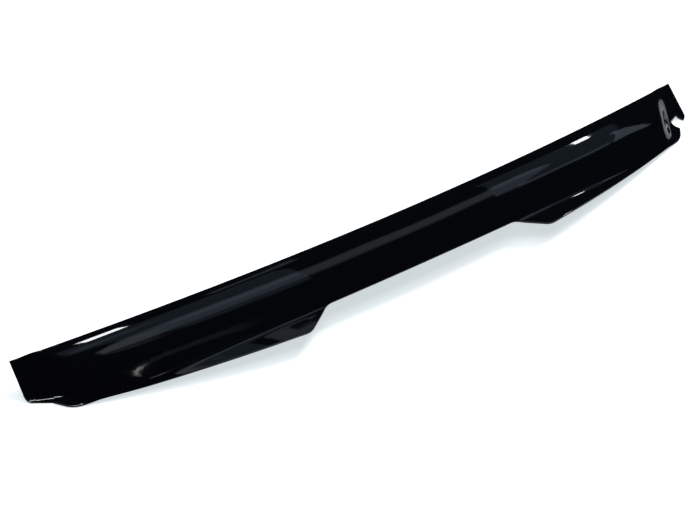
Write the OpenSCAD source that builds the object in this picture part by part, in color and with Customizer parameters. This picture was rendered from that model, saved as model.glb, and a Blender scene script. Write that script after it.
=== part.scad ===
// One-piece roof spoiler moulding for the top of a tailgate, lying on the flat pads at its two ends.
// Lengths are in millimetres. X runs along the part, Y points to its front edge, and Z = 0 is the
// surface that it lies on. Both sides of X = 0 are alike, but only the right-hand notch is open.

/* [Front edge] */
// Distance from the middle of the part to each front corner
half_length = 575; // [540:5:620]
// How far the middle of the front edge lies behind its corners
front_bow = 51.5; // [40:0.5:65]
// How much higher the middle of the front edge is than its corners
front_rise = 25.5; // [15:0.5:36]
// Height of the front corners above the surface that the part lies on
corner_height = 38; // [32:1:46]

/* [Bonding land] */
// Width of the flat land along the front edge
land_width = 14; // [10:1:18]
// How much the land falls across its width
land_fall = 1.2; // [0.6:0.1:2]
// Thickness of the land
land_thickness = 6; // [4:0.5:8]

/* [Skin] */
// Thickness of the moulded wall behind the land
wall = 3; // [2:0.25:4]
// Slope of the skin just behind the land
crease_slope = 0.22; // [0.16:0.01:0.28]
// Slope of the skin where it is steepest
steep_slope = 0.44; // [0.38:0.005:0.5]
// Distance behind the land at which the skin becomes steepest
steep_depth = 50; // [40:1:60]
// Distance behind the land at which the skin starts to turn into its rear lip
lip_start = 70; // [62:1:80]
// Distance over which it turns into the lip
lip_turn = 10; // [6:1:20]
// Slope of the lip
lip_slope = 0.05; // [0:0.01:0.15]

/* [Rear edge] */
// Distance from the middle to each corner of the recess
recess_half = 163.5; // [140:0.5:175]
// Distance of the recess corners behind the front corners
recess_depth = 132.9; // [122:0.1:140]
// How far the middle of the recess edge lies behind its corners
recess_bow = 3.4; // [0:0.1:8]
// Distance from the middle to each lobe's inner corner
lobe_half = 206; // [195:1:230]
// Distance of the lobe's inner corner behind the front corners
lobe_depth = 162.6; // [155:0.1:170]
// Depth at which the two rear edges would meet if they ran on past the recess
sweep_depth = 178; // [172:0.5:186]
// Size of the bend at the recess corners
recess_bend = 9; // [4:1:14]
// Size of the bend at the lobes' inner corners
lobe_bend = 9; // [4:1:14]

/* [Ends] */
// Distance of each lobe's outer corner from the end of the part
tip_inset = 45; // [38:1:60]
// Distance of the lobe's outer corner behind the front corners
tip_depth = 87.5; // [80:0.5:94]
// Height of the skin at the lobe's outer corner
tip_height = 2.3; // [2.2:0.1:4]
// Distance from the middle at which the skin starts to droop towards the lobe's outer corner
droop_start = 225; // [150:5:300]
// How sharply the droop grows on the way out, where 1 is evenly
droop_power = 1.1; // [1:0.05:1.6]
// Size of the bend at the lobe's outer corner
tip_bend = 11; // [6:1:18]
// Distance of the elbow between the lobe and the end tab from the end of the part
elbow_inset = 27; // [22:1:34]
// Distance of the elbow behind the front corners
elbow_depth = 65; // [60:0.5:72]
// How much further out the rear corner of the end tab is than the front corner
end_lean = 1.5; // [0:0.5:6]
// Distance of the end tab's rear corner behind the front corners
end_depth = 47; // [44:1:54]
// Size of the bend at the end tab's rear corner
end_bend = 8; // [4:1:12]
// Distance behind the front edge at which the end tab stops falling and is level
level_depth = 44; // [38:1:48]
// How much the end tab rises towards the shoulder, in millimetres per millimetre
tab_lift = 0.12; // [0:0.01:0.2]

/* [Shoulder] */
// Distance of the shoulder's foot from the end of the part, at the land
foot_inset = 20; // [14:1:26]
// How much further in the foot lies for each millimetre behind the land
foot_lean = 0.45; // [0.3:0.01:0.6]
// Width of the shoulder from its foot to the skin
shoulder_width = 30; // [22:1:38]

/* [Notches] */
// Width of each notch at its floor
notch_floor = 21; // [12:0.5:24]
// Width of each notch at its mouth
notch_mouth = 27.5; // [22:0.5:34]
// Length of each notch from its floor to past its mouth
notch_length = 24; // [20:1:30]
// Distance of the middle of the notch's floor from the end of the part
notch_inset = 25.5; // [22:0.5:29]
// Distance of the middle of the notch's floor behind the front corners
notch_depth = 46.3; // [40:0.1:52]
// Angle that the notch is turned inwards, in degrees
notch_turn = 25; // [12:1:38]
// Thickness of the web that closes the left-hand notch
web = 1; // [0.6:0.1:1.4]

/* [Hidden] */

// How finely the outline and the skin are divided
recess_steps = 9;
lobe_steps = 19;
bend_steps = 5;
tab_steps = 4;
skin_rows = 13;
web_steps = 12;
// Width of the step under the skin where the land's thickness ends
land_step = 1.5;
// Width over which the end tab's fall turns level
level_blend = 4;
// Length of edge on each side of a bend that gives the bend its direction
bend_reach = 24;
// Distance over which the skin's direction is measured
probe = 0.5;
tip_x = half_length - tip_inset;
foot_x = half_length - foot_inset;
end_corner = [half_length + end_lean, -end_depth];
elbow = [half_length - elbow_inset, -elbow_depth];

function unit(v) = v / norm(v);
function clamp(t) = min(max(t, 0), 1);
function smooth(t) = let (c = clamp(t)) c * c * (3 - 2 * c);

// An even curve in x, through v0 at the middle, v1 at x1 and v2 at x2
function even_curve(x, v0, x1, v1, x2, v2) =
    let (d1 = (v1 - v0) / (x1 * x1))
    let (d2 = (v2 - v0) / (x2 * x2))
    let (b = (d2 - d1) / (x2 * x2 - x1 * x1))
    v0 + (d1 - b * x1 * x1) * x * x + b * pow(x, 4);

// The front edge, seen from above and from the front
function front_y(x) = -front_bow * (1 - pow(x / half_length, 2));
function front_z(x) = corner_height + front_rise * (1 - pow(x / half_length, 2));

// The sweep that the lobes' rear edges lie on, seen from above
function sweep_y(x) = -even_curve(x, sweep_depth, lobe_half, lobe_depth, tip_x, tip_depth);

// Height of the land at a point
function land_z(x, y) = front_z(x) - land_fall * (front_y(x) - y) / land_width;

// How far the skin falls from the land to a line at a distance behind it. Its slope eases up to the
// steepest line, holds, and eases down to the lip.
function eased_run(t) = let (c = clamp(t)) pow(c, 3) - pow(c, 4) / 2 + max(t - 1, 0);
function fall(behind) =
    crease_slope * behind
    + (steep_slope - crease_slope) * steep_depth * eased_run(behind / steep_depth)
    - (steep_slope - lip_slope) * lip_turn * eased_run((behind - lip_start) / lip_turn);

// How far the rear edge droops below that section
tip_reach = front_y(tip_x) - land_width - sweep_y(tip_x);
tip_droop = front_z(tip_x) - land_fall - fall(tip_reach) - tip_height;
function droop(x) = tip_droop * pow(max(abs(x) - droop_start, 0) / (tip_x - droop_start), droop_power);

// Height of the main skin: one section along the whole crease, drooping towards the rear outer edge
function main_z(x, y) =
    let (behind = max(front_y(x) - land_width - y, 0))
    let (reach = front_y(x) - land_width - sweep_y(x))
    let (q = min(behind / reach, 1.2))
    let (crease_z = front_z(x) - land_fall)
    y > front_y(x) - land_width ? land_z(x, y) : crease_z - fall(behind) - droop(x) * pow(q, 3);

// Height of the end tab: it falls from the front edge and is level round the notch
function tab_z(x, y) =
    let (fall = (corner_height - wall) / level_depth)
    let (lift = tab_lift * max(half_length - land_width - abs(x), 0))
    let (line = front_z(x) - fall * (front_y(x) - y) + lift - wall)
    let (h = clamp(0.5 + 0.5 * line / level_blend))
    wall + line * h + level_blend * h * (1 - h);

// Height of the whole outer skin: the shoulder joins the main skin to the end tab
function skin_z(x, y) =
    let (foot = foot_x + foot_lean * (y + land_width))
    let (share = smooth((foot - abs(x)) / shoulder_width))
    tab_z(x, y) * (1 - share) + main_z(x, y) * share;

// Direction square to the skin
function skin_normal(x, y) =
    let (dx = skin_z(x + probe, y) - skin_z(x - probe, y))
    let (dy = skin_z(x, y + probe) - skin_z(x, y - probe))
    unit([-dx, -dy, 2 * probe]);

// A bend of the outline at p, between the directions of a and b
function bend(a, p, b, size) =
    let (start = p + size * unit(a - p))
    let (stop = p + size * unit(b - p))
    [for (i = [0:bend_steps]) let (t = i / bend_steps)
        (1 - t) * (1 - t) * start + 2 * t * (1 - t) * p + t * t * stop];

function recess_point(x) = [x, -recess_depth - recess_bow * (1 - pow(x / recess_half, 2))];
function lobe_point(x) = [x, sweep_y(x)];

// The rear outline from the middle of the part to the outer side of the end tab
recess_corner = recess_point(recess_half);
lobe_corner = lobe_point(lobe_half);
tip_corner = lobe_point(tip_x);
front_corner = [half_length, 0];
lobe_from = lobe_half + lobe_bend;
lobe_to = tip_x - tip_bend;
rear_outline = concat(
    [for (i = [0:recess_steps - 1]) recess_point((recess_half - recess_bend) * i / recess_steps)],
    bend(recess_point(recess_half - bend_reach), recess_corner, lobe_corner, recess_bend),
    [(recess_corner + lobe_corner) / 2],
    bend(recess_corner, lobe_corner, lobe_point(lobe_half + bend_reach), lobe_bend),
    [for (i = [1:lobe_steps - 1]) lobe_point(lobe_from + (lobe_to - lobe_from) * i / lobe_steps)],
    bend(lobe_point(tip_x - bend_reach), tip_corner, elbow, tip_bend),
    [(tip_corner + elbow) / 2 + (elbow - tip_corner) / 4],
    [for (i = [0:tab_steps - 1]) elbow + (end_corner - elbow) * i / (tab_steps + 1)],
    bend(elbow, end_corner, front_corner, end_bend)
);

// The front outline has a point for each one of the rear outline, spread to the front corner
fan_x = lobe_to - bend_reach;
straight_count = len([for (p = rear_outline) if (p.x <= fan_x) 1]);
fan_count = len(rear_outline) - straight_count;
fan_start = rear_outline[straight_count - 1].x;
fan_step = (half_length - fan_start) / fan_count;
function front_x(i) = i < straight_count
    ? rear_outline[i].x
    : fan_start + fan_step * (i - straight_count + 1);

// Plan of one half: each station runs from the front edge to the rear outline
function station(i) =
    let (x = front_x(i))
    let (front = [x, front_y(x)])
    let (rear = rear_outline[i])
    let (depth = front.y - rear.y)
    let (land = land_width / depth)
    let (behind = (land_width + land_step) / depth)
    [for (f = concat([0, land, behind], [for (k = [1:skin_rows]) behind + (1 - behind) * k / skin_rows]))
        front + (rear - front) * f];

half_plan = [for (i = [0:len(rear_outline) - 1]) station(i)];
last = len(half_plan) - 1;
plan = concat(
    [for (i = [last:-1:1]) [for (p = half_plan[i]) [-p.x, p.y]]],
    half_plan
);
columns = len(plan);
rows = len(plan[0]);
outer = [for (line = plan) for (p = line) [p.x, p.y, skin_z(p.x, p.y)]];
inner = [for (line = plan) for (j = [0:rows - 1]) let (p = line[j])
    [p.x, p.y, skin_z(p.x, p.y)] - skin_normal(p.x, p.y) * (j < 2 ? land_thickness : wall)];
depths = [for (p = concat(outer, inner)) p.y];
middle_y = (max(depths) + min(depths)) / 2;

// The closed skin: outer side, inner side and the wall round its edge
module skin() {
    count = columns * rows;
    function at(i, j) = i * rows + j;
    cells = [for (i = [0:columns - 2]) for (j = [0:rows - 2])
        [at(i, j), at(i, j + 1), at(i + 1, j + 1), at(i + 1, j)]];
    rim = concat(
        [for (i = [0:columns - 2]) at(i, 0)],
        [for (j = [0:rows - 2]) at(columns - 1, j)],
        [for (i = [columns - 1:-1:1]) at(i, rows - 1)],
        [for (j = [rows - 1:-1:1]) at(0, j)]
    );
    rim_count = len(rim);
    polyhedron(
        points = concat(outer, inner),
        faces = concat(
            [for (c = cells) [c[0], c[2], c[1]]],
            [for (c = cells) [c[0], c[3], c[2]]],
            [for (c = cells) [c[0] + count, c[1] + count, c[2] + count]],
            [for (c = cells) [c[0] + count, c[2] + count, c[3] + count]],
            [for (k = [0:rim_count - 1]) let (a = rim[k], b = rim[(k + 1) % rim_count])
                [a, a + count, b + count]],
            [for (k = [0:rim_count - 1]) let (a = rim[k], b = rim[(k + 1) % rim_count])
                [a, b + count, b]]
        ),
        convexity = 6
    );
}

// The space of a notch in the right-hand end tab, open at the tab's rear edge
module notch() {
    translate([half_length - notch_inset, -notch_depth, -wall])
        rotate(notch_turn)
            linear_extrude(corner_height + front_rise)
                polygon([
                    [-notch_floor / 2, 0],
                    [notch_floor / 2, 0],
                    [notch_mouth / 2, -notch_length],
                    [-notch_mouth / 2, -notch_length]
                ]);
}

// Where the web that closes a notch ends: it is left along the inner side of the skin
function web_point(i, j) =
    let (x = half_length - notch_inset + notch_length * (2 * i / web_steps - 1))
    let (y = -notch_depth + notch_length * (0.5 - 1.5 * j / web_steps))
    [x, y, skin_z(x, y) - wall / skin_normal(x, y).z + web];

// All the space over that surface
module space_above_web() {
    side = web_steps + 1;
    low = [for (i = [0:web_steps]) for (j = [0:web_steps]) web_point(i, j)];
    high = [for (p = low) [p.x, p.y, corner_height + front_rise]];
    count = side * side;
    function at(i, j) = i * side + j;
    cells = [for (i = [0:web_steps - 1]) for (j = [0:web_steps - 1])
        [at(i, j), at(i, j + 1), at(i + 1, j + 1), at(i + 1, j)]];
    rim = concat(
        [for (i = [0:web_steps - 1]) at(i, 0)],
        [for (j = [0:web_steps - 1]) at(web_steps, j)],
        [for (i = [web_steps:-1:1]) at(i, web_steps)],
        [for (j = [web_steps:-1:1]) at(0, j)]
    );
    rim_count = len(rim);
    polyhedron(
        points = concat(high, low),
        faces = concat(
            [for (c = cells) [c[0], c[2], c[1]]],
            [for (c = cells) [c[0], c[3], c[2]]],
            [for (c = cells) [c[0] + count, c[1] + count, c[2] + count]],
            [for (c = cells) [c[0] + count, c[2] + count, c[3] + count]],
            [for (k = [0:rim_count - 1]) let (a = rim[k], b = rim[(k + 1) % rim_count])
                [a, a + count, b + count]],
            [for (k = [0:rim_count - 1]) let (a = rim[k], b = rim[(k + 1) % rim_count])
                [a, b + count, b]]
        ),
        convexity = 4
    );
}

module spoiler_moulding() {
    color("#0b0b0e")
        translate([0, -middle_y, 0])
            difference() {
                skin();
                notch();
                mirror([1, 0, 0]) intersection() {
                    notch();
                    space_above_web();
                }
            }
}

spoiler_moulding();
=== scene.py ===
import math
from types import SimpleNamespace

import bpy
from mathutils import Matrix, Vector


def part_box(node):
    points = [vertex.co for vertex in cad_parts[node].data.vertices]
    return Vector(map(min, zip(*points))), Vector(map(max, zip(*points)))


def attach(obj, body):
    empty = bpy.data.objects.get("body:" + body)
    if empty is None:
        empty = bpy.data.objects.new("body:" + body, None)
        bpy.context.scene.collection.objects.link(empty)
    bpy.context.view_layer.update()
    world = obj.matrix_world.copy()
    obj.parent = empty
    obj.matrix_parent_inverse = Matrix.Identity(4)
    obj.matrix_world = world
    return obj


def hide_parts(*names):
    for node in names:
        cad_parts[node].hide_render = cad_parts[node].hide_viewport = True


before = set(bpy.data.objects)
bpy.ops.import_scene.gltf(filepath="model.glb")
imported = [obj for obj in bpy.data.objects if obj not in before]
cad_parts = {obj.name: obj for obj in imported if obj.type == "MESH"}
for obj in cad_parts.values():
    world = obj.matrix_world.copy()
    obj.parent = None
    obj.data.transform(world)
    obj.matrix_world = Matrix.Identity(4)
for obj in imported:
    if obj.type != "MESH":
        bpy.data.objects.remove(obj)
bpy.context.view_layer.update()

# Spoiler moulding, finishes. It is gloss black plastic from a polished tool, with a faint orange peel
# and the long waviness of a moulded skin. Its hidden inner side is satin, as the tool leaves it.
plastic_ior = 1.5
gloss_colour = (0.0008, 0.0009, 0.0012, 1)
gloss_roughness = (0.020, 0.040)
peel_grain = 160
peel_depth = 0.000008
wave_grain = 16
wave_depth = 0.00006
satin_colour = (0.010, 0.010, 0.011, 1)
satin_roughness = (0.42, 0.56)
satin_grain = 700
satin_depth = 0.00003


def join(source, output, target, socket):
    """Links a node's output to a socket of another node in the same tree."""
    source.id_data.links.new(source.outputs[output], target.inputs[socket])


def new_plastic(name, colour):
    """A plastic of one colour, and its shader."""
    material = bpy.data.materials.new(name)
    material.use_nodes = True
    shader = material.node_tree.nodes["Principled BSDF"]
    shader.inputs["Base Color"].default_value = colour
    shader.inputs["IOR"].default_value = plastic_ior
    return material, shader


def add_noise(shader, grain, detail):
    """Noise fixed to the moulding, of a grain given in waves per metre."""
    nodes = shader.id_data.nodes
    place = nodes.new("ShaderNodeTexCoord")
    noise = nodes.new("ShaderNodeTexNoise")
    noise.inputs["Scale"].default_value = grain
    noise.inputs["Detail"].default_value = detail
    join(place, "Object", noise, "Vector")
    return noise


def vary_roughness(shader, noise, roughness):
    """Spreads the roughness of a finish over its surface, from the smoothest to the roughest."""
    spread = shader.id_data.nodes.new("ShaderNodeMapRange")
    spread.inputs["To Min"].default_value = roughness[0]
    spread.inputs["To Max"].default_value = roughness[1]
    join(noise, "Fac", spread, "Value")
    join(spread, "Result", shader, "Roughness")


def add_relief(shader, noise, depth, below=None):
    """Relief of a depth in metres, laid on top of another relief where one is given."""
    relief = shader.id_data.nodes.new("ShaderNodeBump")
    relief.inputs["Distance"].default_value = depth
    join(noise, "Fac", relief, "Height")
    if below is not None:
        join(below, "Normal", relief, "Normal")
    join(relief, "Normal", shader, "Normal")
    return relief


gloss_black, gloss_shader = new_plastic("gloss_black_plastic", gloss_colour)
wave_noise = add_noise(gloss_shader, wave_grain, detail=1)
peel_noise = add_noise(gloss_shader, peel_grain, detail=1)
vary_roughness(gloss_shader, wave_noise, gloss_roughness)
waviness = add_relief(gloss_shader, wave_noise, wave_depth)
add_relief(gloss_shader, peel_noise, peel_depth, waviness)

satin_black, satin_shader = new_plastic("satin_black_plastic", satin_colour)
satin_noise = add_noise(satin_shader, satin_grain, detail=2)
vary_roughness(satin_shader, satin_noise, satin_roughness)
add_relief(satin_shader, satin_noise, satin_depth)

# Spoiler moulding, form. One skin with a 3 mm wall: a flat land for bonding along the front edge, a
# roll-over that ends in a lip at the rear edge, and a low tab at each end that lies on a pad.
moulding_sizes = {
    "half_length": 0.575,
    "front_bow": 0.0515,
    "front_rise": 0.0255,
    "corner_height": 0.038,
    "land_width": 0.014,
    "land_fall": 0.0012,
    "land_thickness": 0.006,
    "wall": 0.003,
    "crease_slope": 0.22,
    "crease_round": 0.006,
    "steep_slope": 0.44,
    "steep_depth": 0.050,
    "lip_start": 0.070,
    "lip_turn": 0.010,
    "lip_slope": 0.05,
    "lobe_half": 0.206,
    "lobe_depth": 0.1626,
    "sweep_depth": 0.178,
    "tip_inset": 0.045,
    "tip_depth": 0.0875,
    "tip_height": 0.0023,
    "droop_start": 0.225,
    "droop_power": 1.1,
    "level_depth": 0.044,
    "level_blend": 0.004,
    "tab_lift": 0.12,
    "foot_inset": 0.020,
    "foot_lean": 0.45,
    "shoulder_width": 0.030,
}
droop_limit = 1.2
recess_half = 0.1635
recess_depth = 0.1329
recess_bow = 0.0034
recess_bend = 0.009
lobe_bend = 0.009
tip_bend = 0.011
elbow_inset = 0.027
elbow_depth = 0.065
end_lean = 0.0015
end_depth = 0.047
end_bend = 0.008
bend_reach = 0.024
land_step = 0.0015
edge_radius = 0.0005
edge_segments = 2
edge_angle = 50
sharp_angle = 30
merge_distance = 0.00001

# How finely the plan is drawn: steps along the parts of the rear outline, and rows behind the front edge
recess_steps = 32
lobe_steps = 64
side_steps = 6
end_steps = 8
front_marks = [0, 0.0006, 0.004]
crease_rows = 6
skin_rows = 60


class Field:
    """A number that varies over a surface or from ray to ray, carried by Math nodes."""

    def __init__(self, socket):
        self.socket = socket

    def math(self, operation, *others):
        tree = self.socket.id_data
        node = tree.nodes.new("ShaderNodeMath")
        node.operation = operation
        for target, value in zip(node.inputs, (self, *others)):
            if isinstance(value, Field):
                tree.links.new(value.socket, target)
            else:
                target.default_value = value
        return Field(node.outputs[0])

    def feed(self, node, name):
        """Gives this number to an input of a node."""
        self.socket.id_data.links.new(self.socket, node.inputs[name])

    def __add__(self, other):
        return self.math("ADD", other)

    def __sub__(self, other):
        return self.math("SUBTRACT", other)

    def __mul__(self, other):
        return self.math("MULTIPLY", other)

    def __truediv__(self, other):
        return self.math("DIVIDE", other)

    def __pow__(self, power):
        return self.math("POWER", power)

    def __neg__(self):
        return self * -1

    def __rsub__(self, other):
        return -self + other

    __radd__ = __add__
    __rmul__ = __mul__


# The functions below take plain numbers or fields
def least(a, b):
    if isinstance(a, Field):
        return a.math("MINIMUM", b)
    return min(a, b)


def most(a, b):
    if isinstance(a, Field):
        return a.math("MAXIMUM", b)
    return max(a, b)


def held(a):
    """A number held between 0 and 1."""
    return least(most(a, 0), 1)


def eased(a):
    """A step from 0 to 1 that starts and stops gently."""
    share = held(a)
    return share * share * (3 - 2 * share)


def eased_run(a):
    """How far a line goes whose slope eases from 0 at a = 0 to 1 at a = 1 and stays there."""
    share = held(a)
    return share ** 3 - share ** 4 / 2 + most(a - 1, 0)


def front_y(s, x):
    return -s.front_bow * (1 - (x / s.half_length) ** 2)


def front_z(s, x):
    return s.corner_height + s.front_rise * (1 - (x / s.half_length) ** 2)


def sweep_y(s, x):
    """The sweep of the lobes' rear edges: an even curve through the middle and both lobe corners."""
    tip_x = s.half_length - s.tip_inset
    bend_near = (s.lobe_depth - s.sweep_depth) / s.lobe_half ** 2
    bend_far = (s.tip_depth - s.sweep_depth) / tip_x ** 2
    quartic = (bend_far - bend_near) / (tip_x ** 2 - s.lobe_half ** 2)
    return -(s.sweep_depth + (bend_near - quartic * s.lobe_half ** 2) * x ** 2 + quartic * x ** 4)


def fall(s, behind):
    """How far the skin falls from the land to a line at a distance behind it."""
    roll = (s.steep_slope - s.crease_slope) * s.steep_depth * eased_run(behind / s.steep_depth)
    lip = (s.steep_slope - s.lip_slope) * s.lip_turn * eased_run((behind - s.lip_start) / s.lip_turn)
    return s.crease_slope * behind + roll - lip


def main_z(s, x, y):
    """The main skin: one section along the whole crease, drooping towards the rear outer edge."""
    tip_x = s.half_length - s.tip_inset
    tip_reach = front_y(s, tip_x) - s.land_width - sweep_y(s, tip_x)
    tip_droop = front_z(s, tip_x) - s.land_fall - fall(s, tip_reach) - s.tip_height
    droop = tip_droop * (most(x - s.droop_start, 0) / (tip_x - s.droop_start)) ** s.droop_power
    crease_y = front_y(s, x) - s.land_width
    behind = crease_y - y
    q = least(most(behind, 0) / (crease_y - sweep_y(s, x)), droop_limit)
    land_rise = most(-behind, 0) * s.land_fall / s.land_width
    round_share = held(1 - most(behind, -behind) / s.crease_round)
    rounding = s.crease_round * (s.crease_slope - s.land_fall / s.land_width) / 4 * round_share ** 2
    return front_z(s, x) - s.land_fall - fall(s, most(behind, 0)) - droop * q ** 3 + land_rise - rounding


def tab_z(s, x, y):
    """The end tab: it falls from the front edge and is level round the notch."""
    slope = (s.corner_height - s.wall) / s.level_depth
    lift = s.tab_lift * most(s.half_length - s.land_width - x, 0)
    line = front_z(s, x) - slope * (front_y(s, x) - y) + lift - s.wall
    share = held(0.5 + 0.5 * line / s.level_blend)
    return s.wall + line * share + s.level_blend * share * (1 - share)


def skin_z(s, x, y):
    """The whole outer skin: the shoulder joins the main skin to the end tab."""
    foot = s.half_length - s.foot_inset + s.foot_lean * (y + s.land_width)
    share = eased((foot - x) / s.shoulder_width)
    return tab_z(s, x, y) * (1 - share) + main_z(s, x, y) * share


def run(start, stop, steps):
    """Points from start up to stop, without stop itself."""
    return [start + (stop - start) * i / steps for i in range(steps)]


def bend(before, corner, after, size, steps=10):
    """The bend of the rear outline at a corner."""
    start = corner + size * (before - corner).normalized()
    stop = corner + size * (after - corner).normalized()
    shares = [i / steps for i in range(steps + 1)]
    return [(1 - t) ** 2 * start + 2 * t * (1 - t) * corner + t ** 2 * stop for t in shares]


sizes = SimpleNamespace(**moulding_sizes)


def recess(x):
    return Vector((x, -recess_depth - recess_bow * (1 - (x / recess_half) ** 2)))


def lobe(x):
    return Vector((x, sweep_y(sizes, x)))


# The rear outline from the middle of the moulding to the outer side of the right-hand tab
tip_x = sizes.half_length - sizes.tip_inset
recess_corner = recess(recess_half)
lobe_corner = lobe(sizes.lobe_half)
elbow = Vector((sizes.half_length - elbow_inset, -elbow_depth))
end_corner = Vector((sizes.half_length + end_lean, -end_depth))
end_bend_start = end_corner + end_bend * (elbow - end_corner).normalized()
lobe_corner_bend = bend(recess_corner, lobe_corner, lobe(sizes.lobe_half + bend_reach), lobe_bend)
rear_outline = [recess(x) for x in run(0, recess_half - recess_bend, recess_steps)]
rear_outline += bend(recess(recess_half - bend_reach), recess_corner, lobe_corner, recess_bend)
rear_outline += run(rear_outline[-1], lobe_corner_bend[0], side_steps)[1:]
rear_outline += lobe_corner_bend
rear_outline += [lobe(x) for x in run(sizes.lobe_half + lobe_bend, tip_x - tip_bend, lobe_steps)[1:]]
rear_outline += bend(lobe(tip_x - bend_reach), lobe(tip_x), elbow, tip_bend)
rear_outline += run(rear_outline[-1], elbow, side_steps)[1:]
rear_outline += run(elbow, end_bend_start, end_steps)
rear_outline += bend(elbow, end_corner, Vector((sizes.half_length, 0)), end_bend)

# The plan: a line of points from the front edge to each point of the rear outline. Towards the tab the
# lines spread out like a fan, and the crease has rows of its own.
fan_x = tip_x - tip_bend - bend_reach
straight = [p.x for p in rear_outline if p.x <= fan_x]
fan_count = len(rear_outline) - len(straight)
front_x = straight + run(straight[-1], sizes.half_length, fan_count)[1:] + [sizes.half_length]
row_marks = list(front_marks)
for k in range(-crease_rows, crease_rows + 1):
    row_marks.append(sizes.land_width + sizes.crease_round * k / crease_rows)
right_half = []
for x, rear in zip(front_x, rear_outline):
    front = Vector((x, front_y(sizes, x)))
    depth = front.y - rear.y
    shares = [mark / depth for mark in row_marks]
    shares += [shares[-1] + (1 - shares[-1]) * k / skin_rows for k in range(1, skin_rows + 1)]
    right_half.append([front + (rear - front) * share for share in shares])
left_half = [[Vector((-p.x, p.y)) for p in line] for line in right_half[:0:-1]]
lines = left_half + right_half
rows = len(lines[0])
plan_points = [(p.x, p.y, 0) for line in lines for p in line]
plan_faces = [
    (i * rows + j, i * rows + j + 1, (i + 1) * rows + j + 1, (i + 1) * rows + j)
    for i in range(len(lines) - 1)
    for j in range(rows - 1)
]
plan = bpy.data.meshes.new("moulding_plan")
plan.from_pydata(plan_points, [], plan_faces)
plan.materials.append(gloss_black)
plan.materials.append(satin_black)
moulding = bpy.data.objects.new("spoiler_skin", plan)
bpy.context.scene.collection.objects.link(moulding)

# The tree that raises the flat plan to the skin and gives it its wall
tree = bpy.data.node_groups.new("raise_moulding", "GeometryNodeTree")
tree.interface.new_socket("Geometry", in_out="INPUT", socket_type="NodeSocketGeometry")
tree.interface.new_socket("Geometry", in_out="OUTPUT", socket_type="NodeSocketGeometry")
size_sockets = {}
for name in moulding_sizes:
    label = name.replace("_", " ")
    size_sockets[name] = tree.interface.new_socket(label, in_out="INPUT", socket_type="NodeSocketFloat")
group_in = tree.nodes.new("NodeGroupInput")
size_fields = SimpleNamespace()
for name, socket in size_sockets.items():
    setattr(size_fields, name, Field(group_in.outputs[socket.name]))

position = tree.nodes.new("GeometryNodeInputPosition")
place = tree.nodes.new("ShaderNodeSeparateXYZ")
join(position, "Position", place, "Vector")
point_x = Field(place.outputs["X"]).math("ABSOLUTE")
point_y = Field(place.outputs["Y"])
height = tree.nodes.new("ShaderNodeCombineXYZ")
skin_z(size_fields, point_x, point_y).feed(height, "Z")
raised = tree.nodes.new("GeometryNodeSetPosition")
join(group_in, "Geometry", raised, "Geometry")
join(height, "Vector", raised, "Offset")

normal = tree.nodes.new("GeometryNodeInputNormal")
kept_normal = tree.nodes.new("GeometryNodeCaptureAttribute")
kept_normal.domain = "POINT"
kept_normal.capture_items.new("VECTOR", "Normal")
join(raised, "Geometry", kept_normal, "Geometry")
join(normal, "Normal", kept_normal, "Normal")
wall_side = tree.nodes.new("GeometryNodeExtrudeMesh")
wall_side.mode = "FACES"
wall_side.inputs["Individual"].default_value = False
wall_side.inputs["Offset Scale"].default_value = 0
join(kept_normal, "Geometry", wall_side, "Mesh")

behind_land = front_y(size_fields, point_x) - size_fields.land_width - point_y
land_extra = size_fields.land_thickness - size_fields.wall
thickness = size_fields.wall + land_extra * held(1 - behind_land / land_step)
inward = tree.nodes.new("ShaderNodeVectorMath")
inward.operation = "SCALE"
join(kept_normal, "Normal", inward, "Vector")
(-thickness).feed(inward, "Scale")
inner = tree.nodes.new("GeometryNodeSetPosition")
join(wall_side, "Mesh", inner, "Geometry")
join(wall_side, "Top", inner, "Selection")
join(inward, "Vector", inner, "Offset")
flipped = tree.nodes.new("GeometryNodeFlipFaces")
join(inner, "Geometry", flipped, "Mesh")
both_sides = tree.nodes.new("GeometryNodeJoinGeometry")
join(kept_normal, "Geometry", both_sides, "Geometry")
join(flipped, "Mesh", both_sides, "Geometry")
merged = tree.nodes.new("GeometryNodeMergeByDistance")
merged.inputs["Distance"].default_value = merge_distance
join(both_sides, "Geometry", merged, "Geometry")
realized = tree.nodes.new("GeometryNodeRealizeInstances")
join(merged, "Geometry", realized, "Geometry")
gloss_finish = tree.nodes.new("GeometryNodeSetMaterial")
gloss_finish.inputs["Material"].default_value = gloss_black
join(realized, "Geometry", gloss_finish, "Geometry")
satin_finish = tree.nodes.new("GeometryNodeSetMaterial")
satin_finish.inputs["Material"].default_value = satin_black
join(wall_side, "Top", satin_finish, "Selection")
join(gloss_finish, "Geometry", satin_finish, "Geometry")
group_out = tree.nodes.new("NodeGroupOutput")
join(satin_finish, "Geometry", group_out, "Geometry")

raising = moulding.modifiers.new("raise", "NODES")
raising.node_group = tree
for name, socket in size_sockets.items():
    raising[socket.identifier] = moulding_sizes[name]


def keep_result(piece):
    """Turns a piece's modifiers into a plain mesh."""
    bpy.context.view_layer.update()
    graph = bpy.context.evaluated_depsgraph_get()
    mesh = bpy.data.meshes.new_from_object(piece.evaluated_get(graph))
    piece.modifiers.clear()
    piece.data = mesh


# The frame's origin lies half-way along the depth of the part, so the moulding moves forward to it
keep_result(moulding)
cad_low, cad_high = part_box("spoiler_moulding")
mesh_depths = [v.co.y for v in moulding.data.vertices]
forward = (cad_low.y + cad_high.y) / 2 - (min(mesh_depths) + max(mesh_depths)) / 2
moulding.data.transform(Matrix.Translation((0, forward, 0)))
edge_round = moulding.modifiers.new("edge_round", "BEVEL")
edge_round.width = edge_radius
edge_round.segments = edge_segments
edge_round.limit_method = "ANGLE"
edge_round.angle_limit = math.radians(edge_angle)
keep_result(moulding)

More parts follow.
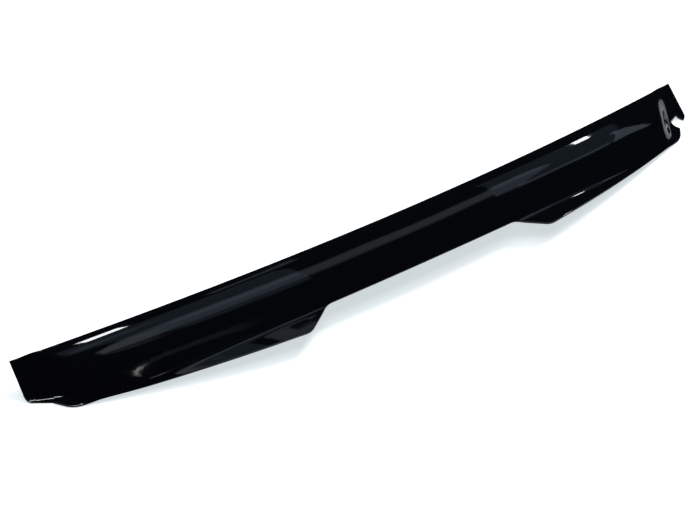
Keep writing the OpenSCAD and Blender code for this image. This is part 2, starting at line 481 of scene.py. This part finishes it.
# Notches. Each end tab has one in its rear edge, cut square through the wall. The right-hand one is
# open. In the left-hand one a thin web is left along the inner side of the skin.
notch_floor = 0.021
notch_mouth = 0.0275
notch_length = 0.024
notch_inset = 0.0255
notch_depth = 0.0463
notch_turn = 25
web = 0.001
notch_top = sizes.corner_height + sizes.front_rise
notch_outline = [
    (-notch_floor / 2, 0),
    (-notch_mouth / 2, -notch_length),
    (notch_mouth / 2, -notch_length),
    (notch_floor / 2, 0),
]
prism_points = [(px, py, z) for z in (-sizes.wall, notch_top) for px, py in notch_outline]
prism_faces = [(3, 2, 1, 0), (4, 5, 6, 7), (0, 1, 5, 4), (1, 2, 6, 5), (2, 3, 7, 6), (3, 0, 4, 7)]
for name, side in (("right_notch", 1), ("left_notch", -1)):
    space = bpy.data.meshes.new(name)
    space.from_pydata(prism_points, [], prism_faces)
    space.transform(Matrix.Rotation(math.radians(notch_turn), 4, "Z"))
    space.transform(Matrix.Translation((sizes.half_length - notch_inset, forward - notch_depth, 0)))
    if side < 0:
        space.transform(Matrix.Scale(-1, 4, (1, 0, 0)))
        space.flip_normals()
    space.materials.append(gloss_black)
    cutter = bpy.data.objects.new(name, space)
    bpy.context.scene.collection.objects.link(cutter)
    if side < 0:
        above_web = moulding.data.copy()
        above_web.transform(Matrix.Translation((0, 0, web)))
        above_web.polygons.foreach_set("material_index", [0] * len(above_web.polygons))
        raised_skin = bpy.data.objects.new("above_web", above_web)
        bpy.context.scene.collection.objects.link(raised_skin)
        limit = cutter.modifiers.new("above_web", "BOOLEAN")
        limit.operation = "INTERSECT"
        limit.solver = "EXACT"
        limit.object = raised_skin
        keep_result(cutter)
        bpy.data.objects.remove(raised_skin)
    cut = moulding.modifiers.new(name, "BOOLEAN")
    cut.operation = "DIFFERENCE"
    cut.solver = "EXACT"
    cut.object = cutter
    keep_result(moulding)
    bpy.data.objects.remove(cutter)
moulding.data.shade_smooth()
moulding.data.set_sharp_from_angle(angle=math.radians(sharp_angle))
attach(moulding, "root")
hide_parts("spoiler_moulding")

# Floor. A pale sheet that takes the shadow and shows as the white background. It glows for the camera,
# and less in what the skin mirrors.
floor_reach = 6
floor_drop = 0.0003
floor_grey = (0.62, 0.62, 0.62, 1)
floor_glow_colour = (0.90, 0.98, 1, 1)
floor_glow = 0.68
floor_mirrored_glow = 0.10


def mirrored_share(path):
    """1 for a ray that a surface mirrored or let through, and 0 for any other."""
    return held(Field(path.outputs["Is Glossy Ray"]) + Field(path.outputs["Is Transmission Ray"]))


floor_corners = [(-floor_reach, -floor_reach, 0), (floor_reach, -floor_reach, 0)]
floor_corners += [(floor_reach, floor_reach, 0), (-floor_reach, floor_reach, 0)]
floor_mesh = bpy.data.meshes.new("floor")
floor_mesh.from_pydata(floor_corners, [], [(0, 1, 2, 3)])
floor = bpy.data.objects.new("floor", floor_mesh)
floor.location.z = -floor_drop
bpy.context.scene.collection.objects.link(floor)
pale_floor = bpy.data.materials.new("pale_floor")
pale_floor.use_nodes = True
floor_nodes = pale_floor.node_tree.nodes
floor_nodes.clear()
floor_path = floor_nodes.new("ShaderNodeLightPath")
floor_light = floor_nodes.new("ShaderNodeEmission")
floor_light.inputs["Color"].default_value = floor_glow_colour
seen_glow = Field(floor_path.outputs["Is Camera Ray"]) * floor_glow
(seen_glow + mirrored_share(floor_path) * floor_mirrored_glow).feed(floor_light, "Strength")
floor_paint = floor_nodes.new("ShaderNodeBsdfDiffuse")
floor_paint.inputs["Color"].default_value = floor_grey
floor_sum = floor_nodes.new("ShaderNodeAddShader")
join(floor_paint, "BSDF", floor_sum, 0)
join(floor_light, "Emission", floor_sum, 1)
floor_out = floor_nodes.new("ShaderNodeOutputMaterial")
join(floor_sum, "Shader", floor_out, "Surface")
floor_mesh.materials.append(pale_floor)

# Surroundings. The camera sees white. The gloss skin mirrors a dark, bluish room that turns white only
# just above the floor, as a sheet of white round the spoiler would.
room_top = 0.05
room_white_colour = (1, 1, 1, 1)
room_dark_colour = (0.020, 0.024, 0.036, 1)
world = bpy.data.worlds.new("studio")
bpy.context.scene.world = world
world.use_nodes = True
room_nodes = world.node_tree.nodes
room_nodes.clear()
room_path = room_nodes.new("ShaderNodeLightPath")
room_place = room_nodes.new("ShaderNodeTexCoord")
room_split = room_nodes.new("ShaderNodeSeparateXYZ")
join(room_place, "Generated", room_split, "Vector")
room_white = room_nodes.new("ShaderNodeBackground")
room_white.inputs["Color"].default_value = room_white_colour
room_dark = room_nodes.new("ShaderNodeBackground")
room_dark.inputs["Color"].default_value = room_dark_colour
room_mix = room_nodes.new("ShaderNodeMixShader")
low_down = 1 - eased(Field(room_split.outputs["Z"]) / room_top)
whiteness = held(Field(room_path.outputs["Is Camera Ray"]) + mirrored_share(room_path) * low_down)
whiteness.feed(room_mix, "Fac")
join(room_dark, "Background", room_mix, 1)
join(room_white, "Background", room_mix, 2)
room_out = room_nodes.new("ShaderNodeOutputWorld")
join(room_mix, "Shader", room_out, "Surface")

# Lights that the gloss skin mirrors: ceiling strips and window panes, drawn as ribbons two metres up.
# They light nothing else. Each station is (x, low y, high y), with y from the front corners.
ribbon_height = 2.0
ribbon_spacing = 0.002
teal = (0.50, 0.80, 1.0)
pale = (0.66, 0.80, 1.0)
grey = (0.88, 0.92, 1.0)
white = (1.0, 1.0, 1.0)
ribbons = []


def smooth_run(points, steps=8):
    """A smooth run of points through the given ones."""
    padded = [2 * points[0] - points[1]] + points + [2 * points[-1] - points[-2]]
    result = []
    for a, b, c, d in zip(padded, padded[1:], padded[2:], padded[3:]):
        for t in run(0, 1, steps):
            square = t ** 2 * (a - 2.5 * b + 2 * c - d / 2)
            cube = t ** 3 * (1.5 * (b - c) + (d - a) / 2)
            result.append(b + t * (c - a) / 2 + square + cube)
    return result + [points[-1]]


def light_ribbon(name, level, colour, soft_sides, soft_ends, stations):
    """A ribbon of light whose sides and ends fade over the given shares of its width and length."""
    line = smooth_run([Vector(station) for station in stations])
    height = ribbon_height + ribbon_spacing * len(ribbons)
    points = []
    for station in line:
        points.append((station.x, station.y + forward, height))
        points.append((station.x, station.z + forward, height))
    faces = [(2 * i, 2 * i + 2, 2 * i + 3, 2 * i + 1) for i in range(len(line) - 1)]
    mesh = bpy.data.meshes.new(name)
    mesh.from_pydata(points, [], faces)
    across = mesh.uv_layers.new(name="across")
    for loop in mesh.loops:
        along = (line[loop.vertex_index // 2].x - line[0].x) / (line[-1].x - line[0].x)
        across.data[loop.index].uv = (along, loop.vertex_index % 2)
    material = bpy.data.materials.new(name)
    material.use_nodes = True
    material.cycles.emission_sampling = "NONE"
    nodes = material.node_tree.nodes
    nodes.clear()
    place = nodes.new("ShaderNodeUVMap")
    place.uv_map = "across"
    split = nodes.new("ShaderNodeSeparateXYZ")
    join(place, "UV", split, "Vector")
    u = Field(split.outputs["X"])
    v = Field(split.outputs["Y"])
    strength = eased(v / soft_sides[0]) * eased((1 - v) / soft_sides[1]) * level
    strength = strength * eased(u / soft_ends[0]) * eased((1 - u) / soft_ends[1])
    glow = nodes.new("ShaderNodeEmission")
    glow.inputs["Color"].default_value = (*colour, 1)
    strength.feed(glow, "Strength")
    clear = nodes.new("ShaderNodeBsdfTransparent")
    both = nodes.new("ShaderNodeAddShader")
    join(glow, "Emission", both, 0)
    join(clear, "BSDF", both, 1)
    out = nodes.new("ShaderNodeOutputMaterial")
    join(both, "Shader", out, "Surface")
    mesh.materials.append(material)
    ribbon = bpy.data.objects.new(name, mesh)
    bpy.context.scene.collection.objects.link(ribbon)
    ribbon.visible_camera = False
    ribbon.visible_diffuse = False
    ribbon.visible_shadow = False
    ribbons.append(ribbon)


light_ribbon("left_window", 0.23, teal, soft_sides=(0.07, 0.02), soft_ends=(0.06, 0.01), stations=[
    (-0.47, 0.43, 0.90), (-0.38, 0.42, 0.90), (-0.30, 0.36, 0.90), (-0.23, 0.20, 0.90), (-0.16, 0.00, 0.90),
    (-0.08, -0.10, 0.90), (0.00, -0.11, 0.90), (0.20, -0.09, 0.90), (0.48, -0.08, 0.90),
])
light_ribbon("left_strip", 0.38, pale, soft_sides=(0.20, 0.20), soft_ends=(0.02, 0.01), stations=[
    (-0.42, -0.03, 0.15), (-0.36, -0.03, 0.25), (-0.30, -0.03, 0.34), (-0.20, -0.02, 0.40),
    (-0.10, 0.01, 0.42), (0.00, 0.015, 0.43), (0.20, 0.04, 0.42), (0.48, 0.04, 0.41),
])
light_ribbon("left_strip_end", 0.36, white, soft_sides=(0.18, 0.25), soft_ends=(0.06, 0.50), stations=[
    (-0.42, -0.03, 0.14), (-0.36, -0.03, 0.24), (-0.30, -0.03, 0.33), (-0.20, -0.02, 0.34),
    (-0.08, 0.01, 0.33),
])
light_ribbon("left_core", 0.28, pale, soft_sides=(0.40, 0.35), soft_ends=(0.20, 0.05), stations=[
    (-0.16, 0.22, 0.41), (0.00, 0.20, 0.42), (0.20, 0.18, 0.41), (0.48, 0.18, 0.40),
])
light_ribbon("left_fringe", 0.24, pale, soft_sides=(0.30, 0.40), soft_ends=(0.04, 0.60), stations=[
    (-0.43, -0.10, 0.02), (-0.36, -0.19, 0.02), (-0.25, -0.19, 0.03), (-0.10, -0.12, 0.03),
])
light_ribbon("left_glow", 0.30, pale, soft_sides=(0.30, 0.30), soft_ends=(0.20, 0.50), stations=[
    (-0.46, 0.45, 0.64), (-0.30, 0.47, 0.68), (-0.15, 0.50, 0.66), (0.00, 0.52, 0.64),
])
light_ribbon("left_hook_lamp", 4, white, soft_sides=(0.30, 0.30), soft_ends=(0.30, 0.50), stations=[
    (-0.66, -1.25, -1.20), (-0.61, -1.12, -1.08), (-0.56, -1.01, -0.97), (-0.50, -0.90, -0.87),
    (-0.44, -0.80, -0.78),
])
light_ribbon("left_thin_tube", 0.16, pale, soft_sides=(0.30, 0.30), soft_ends=(0.05, 0.30), stations=[
    (-0.56, -1.03, -0.94), (-0.44, -0.83, -0.75), (-0.30, -0.67, -0.60), (-0.16, -0.56, -0.50),
    (0.00, -0.46, -0.41), (0.20, -0.36, -0.32),
])
light_ribbon("middle_strip", 0.42, grey, soft_sides=(0.34, 0.24), soft_ends=(0.01, 0.01), stations=[
    (0.472, 0.02, 0.40), (0.60, 0.02, 0.40), (0.80, 0.03, 0.42), (1.00, 0.04, 0.40), (1.20, 0.06, 0.42),
    (1.35, 0.09, 0.44), (1.49, 0.12, 0.45),
])
light_ribbon("right_window", 0.19, teal, soft_sides=(0.04, 0.02), soft_ends=(0.01, 0.05), stations=[
    (1.483, 0.03, 0.90), (1.70, 0.02, 0.90), (2.00, 0.00, 0.90), (2.25, -0.03, 0.90), (2.48, -0.03, 0.90),
])
light_ribbon("right_strip", 0.36, pale, soft_sides=(0.12, 0.12), soft_ends=(0.01, 0.05), stations=[
    (1.483, 0.05, 0.50), (1.60, 0.06, 0.51), (1.68, 0.09, 0.52), (1.74, 0.19, 0.51), (1.82, 0.27, 0.47),
    (1.89, 0.34, 0.42),
])
light_ribbon("right_core", 0.34, pale, soft_sides=(0.35, 0.35), soft_ends=(0.05, 0.20), stations=[
    (1.49, 0.31, 0.48), (1.65, 0.34, 0.51), (1.78, 0.34, 0.49), (1.88, 0.34, 0.45),
])
light_ribbon("right_sill", 0.38, pale, soft_sides=(0.28, 0.28), soft_ends=(0.05, 0.02), stations=[
    (1.62, 0.04, 0.15), (1.80, 0.04, 0.14), (2.00, 0.03, 0.13), (2.20, -0.01, 0.11), (2.42, -0.04, 0.10),
])
light_ribbon("right_comma", 0.84, pale, soft_sides=(0.06, 0.10), soft_ends=(0.04, 0.10), stations=[
    (2.38, 0.40, 0.47), (2.43, 0.30, 0.47), (2.46, -0.02, 0.45), (2.52, -0.05, 0.41), (2.58, -0.05, 0.33),
    (2.64, -0.07, 0.24), (2.70, -0.09, 0.15), (2.78, -0.13, 0.06), (2.88, -0.19, -0.09),
    (3.00, -0.25, -0.20),
])
light_ribbon("left_crease_lamp", 22, white, soft_sides=(0.06, 0.06), soft_ends=(0.05, 0.05), stations=[
    (-0.28, 0.93, 1.15), (-0.19, 0.95, 1.18), (-0.10, 0.97, 1.18),
])
light_ribbon("right_crease_lamp", 22, white, soft_sides=(0.06, 0.06), soft_ends=(0.05, 0.05), stations=[
    (2.13, 0.67, 0.87), (2.19, 0.67, 0.88), (2.25, 0.68, 0.88),
])
light_ribbon("far_left_panel", 0.45, pale, soft_sides=(0.12, 0.06), soft_ends=(0.10, 0.05), stations=[
    (0.24, 1.02, 1.20), (0.45, 1.04, 1.22), (0.66, 1.06, 1.24),
])

# Lamps. One at the right, beyond the front edge and half-way up the sky, throws the shadow, and a wide
# soft one overhead fills it. The skin mirrors neither.
shadow_lamp = bpy.data.lights.new("shadow_lamp", "SUN")
shadow_lamp.energy = 2.7
shadow_lamp.angle = math.radians(22)
shadow_lamp.color = (1.0, 0.99, 0.97)
shadow_lamp_rig = bpy.data.objects.new("shadow_lamp", shadow_lamp)
bpy.context.scene.collection.objects.link(shadow_lamp_rig)
towards_lamp = Vector((3.0, 1.2, 3.2))
shadow_lamp_rig.rotation_euler = towards_lamp.to_track_quat("Z", "Y").to_euler()
shadow_lamp_rig.visible_glossy = False

overhead = bpy.data.lights.new("overhead", "AREA")
overhead.shape = "RECTANGLE"
overhead.size = 4
overhead.size_y = 3
overhead.energy = 66
overhead.color = (0.93, 0.97, 1.0)
overhead_rig = bpy.data.objects.new("overhead", overhead)
bpy.context.scene.collection.objects.link(overhead_rig)
overhead_rig.location = (0, 0.3, 3.0)
overhead_rig.visible_glossy = False

# Camera. Its place, its turn and its lens were fitted to the photo's outline.
view_data = bpy.data.cameras.new("photo_view")
view_data.sensor_width = 36
view_data.lens = 81.51
view = bpy.data.objects.new("photo_view", view_data)
bpy.context.scene.collection.objects.link(view)
view.location = (-0.9865, forward - 1.4468, 1.5110)
view.rotation_euler = (math.radians(48.147), 0, math.radians(-32.957))
bpy.context.scene.camera = view
bpy.context.scene.view_settings.view_transform = "Standard"
